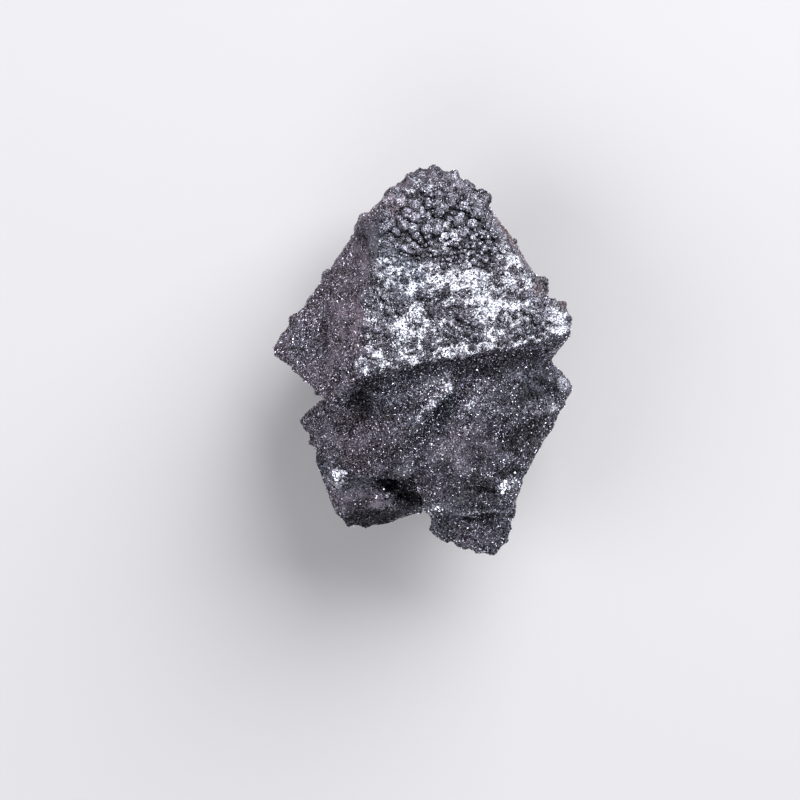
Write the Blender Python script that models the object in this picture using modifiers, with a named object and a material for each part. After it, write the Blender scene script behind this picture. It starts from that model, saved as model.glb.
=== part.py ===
"""Hematite pseudomorph after magnetite: a hand-sized cluster of grown-together octahedral crystals.

The cluster is one natural piece and lies on its back. +Z points up from the surface it rests on,
+Y runs to the rounded top of the upper crystal, and +X to that crystal's right corner. The origin is
the centre of its box, on the resting surface. Places and sizes are written in millimetres.
"""

import math
import random

import bmesh
import bpy
from mathutils import Matrix, Vector
from mathutils.bvhtree import BVHTree

NAME = "hematite_crystal_cluster"
MM = 0.001
SEED = 11
HEMATITE_COLOR = (0.075, 0.068, 0.078)

# How the solid is meshed: the blocks melt into one skin, which is then thinned to flat facets.
SKIN_VOXEL = 0.24
FACETS_KEPT = 0.063

# Relief of the skin: width of the swells, and their height from trough to crest.
BROAD_RELIEF = (2.8, 0.42)
FINE_RELIEF = (1.2, 0.26)

# Corners of the crystals. The back corners reach below the resting surface, which trims them flat.
UPPER_CRYSTAL = {
    "front": (-6.1, -1.5, 23.4),
    "lower_left": (-9.2, -4.1, 20.0),
    "left": (-15.0, 1.2, 8.5),
    "left_back": (-12.6, 2.2, 3.4),
    "right": (14.1, 2.5, 16.9),
    "right_low": (12.5, 0.3, 12.6),
    "right_back": (12.5, 3.2, 8.0),
    "ridge_top": (-3.9, 16.2, 15.4),
    "right_top": (5.4, 15.1, 13.8),
    "right_edge": (9.4, 8.6, 15.7),
    "right_flank": (11.0, 8.3, 11.5),
    "right_top_flank": (6.7, 14.8, 10.5),
    "top_back": (1.0, 16.5, 6.0),
    "left_shoulder": (-6.2, 13.2, 9.5),
    "back_left": (-6.0, 3.2, -0.6),
    "back_top": (-1.0, 9.4, -0.6),
    "back_right": (5.6, 3.6, -0.6),
    "root": (1.0, -9.0, 10.0),
}
LEFT_CRYSTAL = {
    "left": (-12.1, -5.6, 12.5),
    "left_top": (-10.2, -3.7, 13.2),
    "upper_front": (-7.9, -4.8, 17.3),
    "peak": (2.2, -0.9, 19.9),
    "step_top": (3.1, -2.6, 20.6),
    "step_middle": (-0.4, -5.7, 21.2),
    "step_low": (-2.2, -8.2, 20.6),
    "front_left": (-8.4, -7.6, 17.7),
    "lower_left": (-10.7, -8.2, 12.5),
    "front_low": (-4.6, -9.2, 19.2),
    "lower_front": (-1.6, -11.3, 18.0),
    "lower_middle": (-7.2, -11.2, 16.0),
    "back_left": (-6.4, -4.6, 3.2),
    "back_low": (-4.2, -8.6, 3.6),
    "back_right": (0.5, -5.6, 3.0),
}
RIGHT_CRYSTAL = {
    "front": (6.6, -5.1, 20.9),
    "top": (4.6, -1.7, 19.7),
    "top_left": (2.9, -3.9, 19.1),
    "right": (14.5, -2.5, 12.5),
    "right_low": (13.6, -4.3, 13.9),
    "top_right": (12.5, 0.0, 12.6),
    "upper_right": (13.8, -1.0, 12.4),
    "left": (0.7, -7.3, 19.2),
    "lower_left": (-0.6, -10.2, 18.5),
    "low": (2.6, -11.9, 18.2),
    "lower_right": (7.1, -10.7, 18.2),
    "right_foot": (9.7, -11.0, 13.0),
    "back_right": (7.6, -3.4, 3.2),
    "back_low": (5.0, -8.6, 3.6),
    "back_left": (1.4, -6.0, 3.0),
}
CRYSTAL_ROOTS = {
    "left": (-10.0, -4.6, 13.0),
    "right": (12.0, -3.0, 12.0),
    "front_left": (-5.0, -5.5, 18.6),
    "front_low": (0.6, -10.3, 17.4),
    "front_right": (4.4, -4.4, 19.0),
    "front_top": (1.5, -0.5, 18.8),
    "low_left": (-6.6, -10.4, 14.0),
    "low_left_back": (-6.0, -10.4, 7.0),
    "low_right": (6.8, -10.8, 15.5),
    "back_left": (-6.5, -4.0, 2.0),
    "back_right": (7.5, -4.0, 2.0),
    "back_low": (0.5, -11.0, 3.5),
    "back_top": (0.0, 4.0, 3.0),
}
RIGHT_LOBE = {
    "left": (-1.1, -11.4, 16.2),
    "top_left": (-0.8, -9.6, 17.4),
    "top": (2.4, -11.4, 17.9),
    "top_right": (7.3, -12.0, 17.0),
    "inside": (6.5, -9.5, 17.0),
    "shoulder": (9.5, -11.4, 13.0),
    "right": (8.9, -13.7, 12.4),
    "step_right": (8.2, -14.6, 14.8),
    "step": (4.2, -14.6, 16.2),
    "step_left": (0.7, -14.3, 15.4),
    "notch": (-0.6, -14.4, 11.6),
    "back_left": (0.6, -11.5, 4.6),
    "back_right": (7.0, -11.6, 5.0),
    "back_foot": (4.6, -14.2, 6.0),
}
RIGHT_FOOT = {
    "top_left": (0.4, -13.4, 14.0),
    "top_right": (8.3, -13.4, 13.6),
    "right": (8.9, -13.9, 11.8),
    "tip_right": (7.8, -18.1, 10.6),
    "tip": (7.2, -18.9, 9.9),
    "foot": (4.4, -18.1, 11.8),
    "foot_left": (2.3, -17.5, 12.2),
    "notch": (0.5, -15.9, 12.4),
    "middle": (4.6, -15.6, 14.5),
    "back_left": (1.0, -12.5, 6.4),
    "back_right": (7.6, -12.6, 6.8),
    "back_foot": (5.2, -17.0, 7.4),
}
LEFT_LOBE = {
    "left_top": (-10.6, -8.4, 12.0),
    "left_edge": (-10.6, -9.8, 12.0),
    "left": (-9.1, -13.3, 11.5),
    "left_foot": (-8.7, -14.9, 11.0),
    "foot_left": (-7.5, -15.8, 10.6),
    "foot": (-6.0, -16.1, 10.4),
    "foot_right": (-2.5, -15.3, 10.2),
    "notch": (-0.1, -14.8, 9.8),
    "front_left": (-8.2, -11.6, 15.3),
    "front_right": (-4.3, -12.1, 15.4),
    "inside": (-6.0, -9.0, 15.5),
    "lip_right": (-2.9, -13.9, 13.8),
    "lip_left": (-7.6, -14.7, 13.4),
    "inner": (1.0, -11.0, 11.5),
    "back_left": (-7.4, -10.5, 4.0),
    "back_right": (-0.5, -12.6, 3.6),
}
CRYSTALS = (UPPER_CRYSTAL, LEFT_CRYSTAL, RIGHT_CRYSTAL, CRYSTAL_ROOTS, RIGHT_LOBE, RIGHT_FOOT, LEFT_LOBE)

# The two large faces of the upper crystal, each by three of its corners.
BRIGHT_FACE = ("front", "right", "ridge_top")
LEFT_FACE = ("front", "ridge_top", "left")

# Growth plates that stand proud of a face, as outlines seen from above.
LEFT_PLATE = [
    (-9.6, 6.0), (-9.4, 2.3), (-8.3, 0.0), (-7.0, -0.9), (-5.9, 1.8), (-4.9, 6.4), (-5.3, 8.2), (-7.2, 7.6),
]
CORNER_PLATE = [(10.9, 6.0), (13.0, 5.9), (13.7, 5.1), (14.1, 3.5), (14.0, 2.7), (12.6, 2.2), (10.4, 2.3)]
PLATE_RISE = 0.45
PLATE_TAPER = 0.93

# The rounded cap on top of the upper crystal, and the nodules that cover it.
CAP_CENTRE = (0.8, 14.2, 10.8)
CAP_RADII = (4.7, 4.3, 4.5)
CAP_NODULES = 150
CAP_NODULE_GAP = 0.2
NODULE_RADII = (0.42, 0.66)

# Nodules crowd the bright face below the cap, and broad low islands are scattered over the rest of it.
# Rows run from 0 along the ledge to 1 at the cap, and gaps are between centres.
FACE_NODULES = 105
NODULE_ROWS = (0.52, 0.95)
NODULE_GAP = 0.82
FACE_ISLANDS = 62
ISLAND_ROWS = (0.03, 0.56)
ISLAND_GAP = 1.35
ISLAND_RADII = (0.6, 1.25)
ISLAND_FLATNESS = 0.38

# Round knobs that break the outline, as centre and radius.
KNOBS = [
    ((11.3, 7.5, 14.0), 0.85),
    ((11.4, 6.7, 13.9), 0.75),
    ((13.3, 5.4, 14.9), 0.68),
    ((5.9, 15.9, 11.6), 0.80),
    ((4.6, 17.0, 11.0), 0.60),
    ((7.6, 12.0, 13.6), 0.70),
    ((-5.2, 13.6, 9.6), 1.15),
    ((-2.8, 15.7, 13.8), 1.40),
    ((-7.5, 4.3, 17.4), 0.50),
    ((-8.3, -11.1, 15.2), 0.90),
    ((8.0, -12.0, 16.4), 0.95),
    ((6.9, -12.6, 16.6), 0.70),
]

# Octahedra grown parallel to the upper crystal: larger ones that build the back, as centre and radius.
BACK_CRYSTALS = [
    ((-7.6, 3.4, 6.2), 4.9),
    ((8.0, 4.6, 6.4), 5.0),
    ((0.8, 9.8, 5.4), 5.2),
    ((-6.6, -5.4, 6.2), 4.6),
    ((7.0, -5.0, 6.6), 4.6),
    ((8.2, -6.6, 9.2), 3.5),
    ((10.0, -2.6, 9.0), 3.3),
    ((-9.0, -6.6, 9.2), 2.8),
    ((-10.2, 2.4, 9.0), 3.4),
    ((9.6, 5.0, 9.6), 3.4),
    ((-5.4, 9.2, 7.0), 3.6),
    ((6.0, 10.4, 7.4), 3.4),
    ((1.0, -1.2, 3.6), 6.0),
    ((-2.4, -5.4, 4.4), 5.2),
    ((3.8, -6.4, 4.6), 5.2),
    ((3.6, -12.2, 8.6), 4.3),
    ((-4.0, -11.6, 7.6), 4.0),
    ((-4.4, -6.2, 4.2), 5.4),
    ((5.0, -6.4, 4.2), 5.4),
    ((0.2, 5.4, 4.4), 6.4),
    ((-4.6, 3.6, 4.6), 5.2),
    ((5.4, 3.2, 4.4), 5.2),
    ((0.4, -9.4, 5.0), 4.8),
]

# Small octahedra strewn over the back, kept inside the outline seen from above.
BACK_CHIPS = 90
BACK_CHIP_GAP = 0.24
BACK_CHIP_RADII = (0.9, 1.7)
BACK_CHIP_SINK = 0.4
BACK_MIDDLE = (0, -0.5, 8)
LOWEST_CHIP = 1.4

# Small octahedra that step along the edges, as start, end and how many.
EDGE_RUNS = [
    (UPPER_CRYSTAL["front"], UPPER_CRYSTAL["right"], 14),
    (UPPER_CRYSTAL["front"], UPPER_CRYSTAL["lower_left"], 4),
    (UPPER_CRYSTAL["left"], UPPER_CRYSTAL["lower_left"], 6),
    (UPPER_CRYSTAL["left"], UPPER_CRYSTAL["left_shoulder"], 7),
    (RIGHT_CRYSTAL["low"], RIGHT_CRYSTAL["lower_right"], 4),
    (LEFT_CRYSTAL["left"], LEFT_CRYSTAL["lower_left"], 4),
    (RIGHT_FOOT["tip_right"], RIGHT_LOBE["right"], 5),
    (RIGHT_FOOT["tip"], RIGHT_FOOT["foot_left"], 7),
    (RIGHT_FOOT["foot_left"], RIGHT_FOOT["notch"], 4),
    (RIGHT_LOBE["step_left"], RIGHT_LOBE["step"], 5),
    (RIGHT_LOBE["step"], RIGHT_LOBE["step_right"], 5),
    (LEFT_LOBE["lip_left"], LEFT_LOBE["foot_left"], 4),
    (LEFT_LOBE["front_right"], LEFT_LOBE["lip_right"], 4),
    (LEFT_LOBE["foot"], LEFT_LOBE["notch"], 6),
]
EDGE_CHIP_RADII = (0.35, 0.70)

# How far small crystals turn away from the upper crystal's lattice, in radians.
BACK_CRYSTAL_TURN = 0.06
BACK_CHIP_TURN = 0.15
EDGE_CHIP_TURN = 0.4


def clear_scene():
    for obj in list(bpy.data.objects):
        bpy.data.objects.remove(obj)


def make_collection(name):
    collection = bpy.data.collections.new(name)
    bpy.context.scene.collection.children.link(collection)
    return collection


def add_crystal(bm, corners):
    """Adds the flat-faced block that the corners span."""
    points = [bm.verts.new(Vector(corner) * MM) for corner in corners]
    hull = bmesh.ops.convex_hull(bm, input=points)
    inner = [v for v in hull["geom_interior"] if isinstance(v, bmesh.types.BMVert)]
    bmesh.ops.delete(bm, geom=inner, context="VERTS")


def plane_of(face):
    """A point and the unit normal of a face of the upper crystal, pointing up."""
    a, b, c = (Vector(UPPER_CRYSTAL[corner]) for corner in face)
    normal = (b - a).cross(c - a).normalized()
    return a, normal if normal.z > 0 else -normal


def on_face(face, x, y):
    """The point of a face that lies at x, y as seen from above."""
    point, normal = plane_of(face)
    z = point.z - (normal.x * (x - point.x) + normal.y * (y - point.y)) / normal.z
    return Vector((x, y, z))


def add_plate(bm, face, outline, rise):
    normal = plane_of(face)[1]
    feet = [on_face(face, x, y) for x, y in outline]
    centre = sum(feet, Vector()) / len(feet)
    top = [centre + (foot - centre) * PLATE_TAPER + normal * rise for foot in feet]
    add_crystal(bm, [foot - normal * rise for foot in feet] + top)


def add_lump(bm, centre, radius, flatness=1.0, along=Vector((0, 0, 1))):
    """Adds a rounded lump, flattened along a direction."""
    turn = Vector((0, 0, 1)).rotation_difference(along).to_matrix().to_4x4()
    shape = Matrix.Diagonal((radius * MM, radius * MM, radius * flatness * MM, 1))
    place = Matrix.Translation(Vector(centre) * MM) @ turn @ shape
    bmesh.ops.create_icosphere(bm, subdivisions=2, radius=1, matrix=place)


def growth_turn():
    """The turn of the upper crystal's lattice, which the small octahedra share."""
    right, left = plane_of(BRIGHT_FACE)[1], plane_of(LEFT_FACE)[1]
    across = (right - left).normalized()
    ridge = right.cross(left).normalized()
    front = across.cross(ridge)
    return Matrix((across, (front + ridge) / math.sqrt(2), (front - ridge) / math.sqrt(2))).transposed()


def add_octahedron(bm, centre, radius, turn):
    centre = Vector(centre)
    axes = [column.normalized() * radius for column in turn.transposed()]
    add_crystal(bm, [centre + axis * side for axis in axes for side in (1, -1)])


def any_direction(rng):
    height = rng.uniform(-1, 1)
    angle = rng.uniform(0, 2 * math.pi)
    ring = math.sqrt(1 - height * height)
    return Vector((ring * math.cos(angle), ring * math.sin(angle), height))


def spread_directions(rng, count, gap):
    """Seeded directions that keep a gap from one another."""
    kept = []
    for _ in range(count * 60):
        tried = any_direction(rng)
        if all((tried - other).length > gap for other in kept):
            kept.append(tried)
        if len(kept) == count:
            break
    return kept


def add_cap(bm, rng):
    """The rounded top: an ellipsoid covered with grape-like nodules."""
    centre, radii = Vector(CAP_CENTRE), Vector(CAP_RADII)
    place = Matrix.Translation(centre * MM) @ Matrix.Diagonal((*(radii * MM), 1))
    bmesh.ops.create_icosphere(bm, subdivisions=3, radius=1, matrix=place)
    for away in spread_directions(rng, CAP_NODULES, CAP_NODULE_GAP):
        spot = centre + away * radii + away * rng.uniform(-0.15, 0.25)
        add_lump(bm, spot, rng.uniform(*NODULE_RADII))


def scatter(rng, count, rows, gap):
    """Seeded places on the bright face that keep a gap from one another."""
    front, right, ridge_top, right_top = (
        Vector(UPPER_CRYSTAL[corner]) for corner in ("front", "right", "ridge_top", "right_top")
    )
    places = []
    for _ in range(count * 60):
        across, row = rng.random(), rng.uniform(*rows)
        inside = front.lerp(right, across).lerp(ridge_top.lerp(right_top, across), row)
        spot = on_face(BRIGHT_FACE, inside.x, inside.y)
        if all((spot - other).length > gap for other in places):
            places.append(spot)
        if len(places) == count:
            break
    return places


def add_face_lumps(bm, rng):
    normal = plane_of(BRIGHT_FACE)[1]
    for spot in scatter(rng, FACE_NODULES, NODULE_ROWS, NODULE_GAP):
        add_lump(bm, spot + normal * rng.uniform(-0.1, 0.15), rng.uniform(*NODULE_RADII))
    for spot in scatter(rng, FACE_ISLANDS, ISLAND_ROWS, ISLAND_GAP):
        add_lump(bm, spot, rng.uniform(*ISLAND_RADII), ISLAND_FLATNESS, normal)


def wandered(turn, rng, spread):
    about_x = Matrix.Rotation(rng.uniform(-spread, spread), 3, "X")
    about_z = Matrix.Rotation(rng.uniform(-spread, spread), 3, "Z")
    return about_x @ about_z @ turn


def add_back_crystals(bm, rng):
    """The back: large parallel octahedra, then small ones wherever the outline covers them."""
    turn = growth_turn()
    for centre, radius in BACK_CRYSTALS:
        add_octahedron(bm, centre, radius, wandered(turn, rng, BACK_CRYSTAL_TURN))
    surface = BVHTree.FromBMesh(bm)
    middle = Vector(BACK_MIDDLE) * MM
    far = 100 * MM
    for away in spread_directions(rng, BACK_CHIPS, BACK_CHIP_GAP):
        if away.z > 0.25:
            continue
        spot = surface.ray_cast(middle + away * far, -away)[0]
        radius = rng.uniform(*BACK_CHIP_RADII)
        centre = spot - away * BACK_CHIP_SINK * radius * MM
        rim = [centre + Vector((math.cos(a), math.sin(a), 0)) * radius * MM for a in range(7)]
        covered = all(surface.ray_cast(Vector((p.x, p.y, far)), Vector((0, 0, -1)))[0] for p in rim)
        if covered and centre.z > LOWEST_CHIP * MM:
            add_octahedron(bm, centre / MM, radius, wandered(turn, rng, BACK_CHIP_TURN))


def add_edge_chips(bm, rng):
    turn = growth_turn()
    for start, end, count in EDGE_RUNS:
        for i in range(count):
            spot = Vector(start).lerp(Vector(end), (i + rng.random()) / count)
            aside = Vector((rng.uniform(-1, 1), rng.uniform(-1, 1), rng.uniform(-1, 1))) * 0.15
            radius = rng.uniform(*EDGE_CHIP_RADII)
            add_octahedron(bm, spot + aside, radius, wandered(turn, rng, EDGE_CHIP_TURN))


def build_blocks():
    rng = random.Random(SEED)
    bm = bmesh.new()
    for corners in CRYSTALS:
        add_crystal(bm, corners.values())
    add_plate(bm, LEFT_FACE, LEFT_PLATE, PLATE_RISE)
    add_plate(bm, BRIGHT_FACE, CORNER_PLATE, PLATE_RISE)
    add_cap(bm, rng)
    add_face_lumps(bm, rng)
    add_back_crystals(bm, rng)
    add_edge_chips(bm, rng)
    for centre, radius in KNOBS:
        add_lump(bm, centre, radius)
    mesh = bpy.data.meshes.new(NAME)
    bm.to_mesh(mesh)
    bm.free()
    return mesh


def add_remesh(obj, name):
    skin = obj.modifiers.new(name, "REMESH")
    skin.mode = "VOXEL"
    skin.voxel_size = SKIN_VOXEL * MM


def add_relief(obj, name, width, height):
    texture = bpy.data.textures.new(name, "CLOUDS")
    texture.noise_scale = width * MM
    texture.noise_depth = 2
    relief = obj.modifiers.new(name, "DISPLACE")
    relief.texture = texture
    relief.texture_coords = "LOCAL"
    relief.strength = height * MM


def add_thinning(obj):
    thin = obj.modifiers.new("flat_facets", "DECIMATE")
    thin.ratio = FACETS_KEPT


def paint(obj, color, metallic, roughness):
    material = bpy.data.materials.new("hematite")
    material.use_nodes = True
    shader = material.node_tree.nodes["Principled BSDF"]
    shader.inputs["Base Color"].default_value = (*color, 1)
    shader.inputs["Metallic"].default_value = metallic
    shader.inputs["Roughness"].default_value = roughness
    obj.data.materials.append(material)


def cut_flat(obj, collection):
    """Cuts the underside level at height zero, so that the cluster lies steady on its back."""
    mesh = bpy.data.meshes.new("below_floor")
    bm = bmesh.new()
    box = Matrix.Translation((0, 0, -0.010)) @ Matrix.Diagonal((0.080, 0.080, 0.020, 1))
    bmesh.ops.create_cube(bm, size=1, matrix=box)
    bm.to_mesh(mesh)
    bm.free()
    cutter = bpy.data.objects.new("below_floor", mesh)
    collection.objects.link(cutter)
    cutter.hide_render = True
    cutter.display_type = "WIRE"
    cut = obj.modifiers.new("flat_back", "BOOLEAN")
    cut.operation = "DIFFERENCE"
    cut.solver = "EXACT"
    cut.object = cutter


def centre_above_origin(obj):
    bpy.context.view_layer.update()
    finished = obj.evaluated_get(bpy.context.evaluated_depsgraph_get())
    low = [min(corner[i] for corner in finished.bound_box) for i in range(2)]
    high = [max(corner[i] for corner in finished.bound_box) for i in range(2)]
    obj.location = (-(low[0] + high[0]) / 2, -(low[1] + high[1]) / 2, 0)


def main():
    clear_scene()
    collection = make_collection(NAME)
    cluster = bpy.data.objects.new(NAME, build_blocks())
    collection.objects.link(cluster)
    add_remesh(cluster, "one_skin")
    add_relief(cluster, "broad_relief", *BROAD_RELIEF)
    add_relief(cluster, "fine_relief", *FINE_RELIEF)
    add_remesh(cluster, "clean_skin")
    add_thinning(cluster)
    cut_flat(cluster, make_collection("cutters"))
    paint(cluster, HEMATITE_COLOR, 0.7, 0.42)
    centre_above_origin(cluster)


main()
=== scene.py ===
import math

import bpy
import numpy as np
from bpy.props import FloatProperty, FloatVectorProperty, IntProperty, PointerProperty
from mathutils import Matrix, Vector, noise
from mathutils.bvhtree import BVHTree


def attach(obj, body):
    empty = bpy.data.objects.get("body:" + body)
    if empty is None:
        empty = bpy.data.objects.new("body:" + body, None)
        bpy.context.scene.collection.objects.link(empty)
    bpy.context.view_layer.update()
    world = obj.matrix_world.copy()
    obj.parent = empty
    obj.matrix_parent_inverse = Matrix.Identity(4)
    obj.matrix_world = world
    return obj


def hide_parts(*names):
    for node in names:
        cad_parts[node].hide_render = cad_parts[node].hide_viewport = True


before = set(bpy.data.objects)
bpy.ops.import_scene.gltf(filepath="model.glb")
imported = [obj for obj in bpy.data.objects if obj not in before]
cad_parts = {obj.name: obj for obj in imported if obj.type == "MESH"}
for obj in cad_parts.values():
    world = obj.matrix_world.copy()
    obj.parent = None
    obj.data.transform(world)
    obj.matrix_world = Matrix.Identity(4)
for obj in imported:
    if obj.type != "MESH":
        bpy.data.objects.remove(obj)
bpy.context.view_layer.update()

bl_info = {
    "name": "Hematite Crystal Cluster",
    "version": (1, 0, 0),
    "blender": (4, 5, 0),
    "location": "View3D > Sidebar > Hematite",
    "description": "Grows the druse, nodules and finish of a hematite pseudomorph on its solid",
    "category": "Object",
}

CLUSTER_NODE = "hematite_crystal_cluster"
MM = 0.001

# The direction that the bright face looks in.
BRIGHT_FACE_NORMAL = (0.270, 0.375, 0.887)

# The ledge that the upper crystal ends in, seen from above, in millimetres: how far up it runs (second row)
# at each distance across (first row).
LEDGE = ((-20.0, -9.0, -5.9, 14.2), (-4.7, -4.5, -1.8, 2.2))

# How far up the cap's piece starts, and where its crystals take over from the body's, in millimetres.
CAP_STARTS = 7.3
CAP_DRUSE_STARTS = CAP_STARTS + 0.2

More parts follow.
